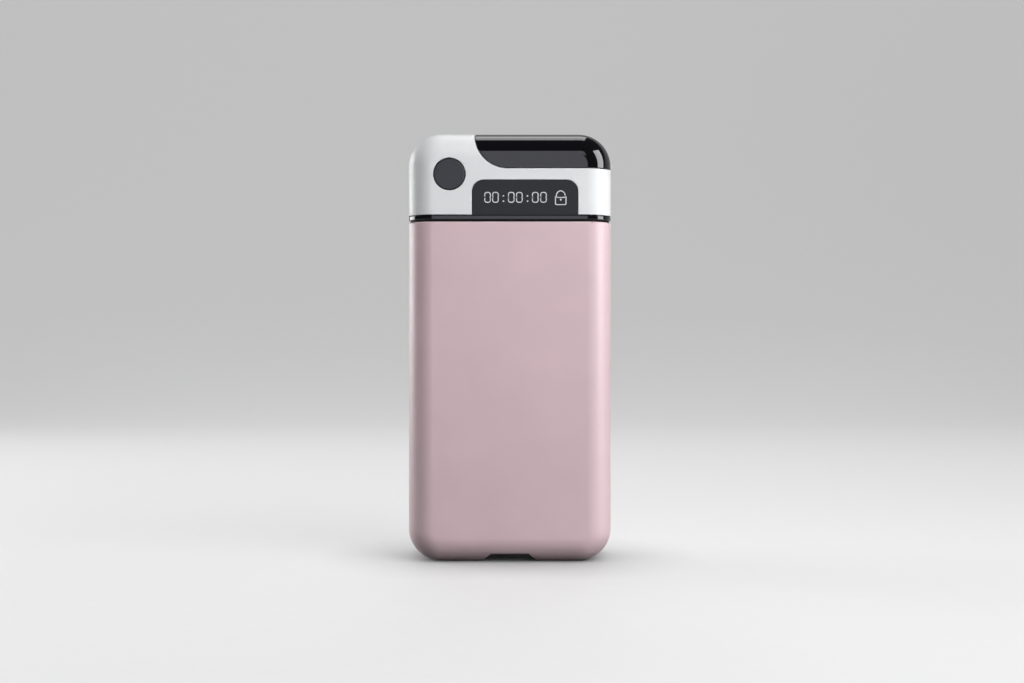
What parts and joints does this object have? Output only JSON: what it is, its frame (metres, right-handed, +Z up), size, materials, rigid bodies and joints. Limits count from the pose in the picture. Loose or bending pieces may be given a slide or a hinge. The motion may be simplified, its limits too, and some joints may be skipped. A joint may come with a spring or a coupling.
{
  "type": "timed lock container",
  "caption": "Free-standing pocket case with a lift-off head, a timer display, a push button, a hinged flip lid and a motor-driven lock slider.",
  "frame": {"origin": "middle of the base, on the surface that the case stands on", "axes": "+Z up, -Y is the front with the display, +X is the side with the lid's hinge"},
  "size_m": [0.0605, 0.032, 0.1265],
  "materials": {
    "body_pink": "soft-touch satin",
    "head_white": "satin",
    "gloss_black": "high gloss",
    "inner_black": "matt",
    "smoked_window": "satin smoked acrylic",
    "button_grey": "fine matt",
    "silicone": "matt",
    "pad_foam": "closed-cell foam",
    "steel": "brushed",
    "screw_steel": "bright",
    "board_green": "solder mask",
    "chip_black": "moulded epoxy",
    "display_black": "glass front",
    "cell_foil": "pouch foil",
    "gear_plastic": "natural acetal"
  },
  "bodies": {
    "container": {"body_shell": "body_pink", "body_liner": "inner_black", "base_channel_trim": "inner_black", "cavity_pad": "pad_foam", "keeper_plate": "steel", "keeper_screws": "screw_steel"},
    "head": {"head_shell": "head_white", "head_chassis": "gloss_black", "collar_gasket": "silicone", "port_sleeve": "inner_black", "display_lens": "smoked_window", "display_module": "display_black", "main_board": "board_green", "board_chips": "chip_black", "board_screws": "screw_steel", "tact_switch": "chip_black", "battery_cell": "cell_foil", "charge_board": "board_green", "charge_port_shell": "steel", "charge_port_tongue": "inner_black", "gear_frame": "inner_black", "frame_screws": "screw_steel", "gear_pin": "screw_steel", "motor_can": "steel", "motor_gearbox": "steel", "slider_switch": "chip_black", "hinge_bracket": "steel", "bracket_screws": "screw_steel", "hinge_pin": "screw_steel"},
    "lid": {"lid_shell": "gloss_black", "lid_liner": "inner_black", "lid_seal": "silicone", "lid_hook": "steel", "hook_screws": "screw_steel"},
    "button": {"button_cap": "button_grey", "switch_plunger": "gear_plastic"},
    "lock_slider": {"lock_slider": "gear_plastic", "lock_bolt": "steel", "lid_catch": "steel"},
    "reduction_gear": {"reduction_gear": "gear_plastic"},
    "motor_pinion": {"motor_pinion": "gear_plastic", "motor_shaft": "screw_steel"}
  },
  "joints": [
    {"name": "head_lift", "type": "slide", "parent": "container", "child": "head", "axis": [0, 0, 1], "range_m": [0, 0.045]},
    {"name": "lid_hinge", "type": "hinge", "parent": "head", "child": "lid", "pos_m": [0.0295, 0, 0.1169], "axis": [0, 1, 0], "range_deg": [0, 110]},
    {"name": "button_press", "type": "slide", "parent": "head", "child": "button", "axis": [0, 1, 0], "range_m": [0, 0.0004], "stiffness_N_per_m": 1500},
    {"name": "lock_slide", "type": "slide", "parent": "head", "child": "lock_slider", "axis": [-1, 0, 0], "range_m": [0, 0.0024]},
    {"name": "gear_turn", "type": "hinge", "parent": "head", "child": "reduction_gear", "pos_m": [-0.0115, 0.0051, 0.105], "axis": [0, 0, 1], "range_deg": [-56, 0]},
    {"name": "motor_turn", "type": "hinge", "parent": "head", "child": "motor_pinion", "pos_m": [-0.0195, 0.00223, 0.105], "axis": [0, 0, 1], "range_deg": [0, 134]}
  ],
  "couplings": [
    {"joint": "gear_turn", "follows": "lock_slide", "rad_per_m": -400},
    {"joint": "motor_turn", "follows": "lock_slide", "rad_per_m": 960}
  ]
}
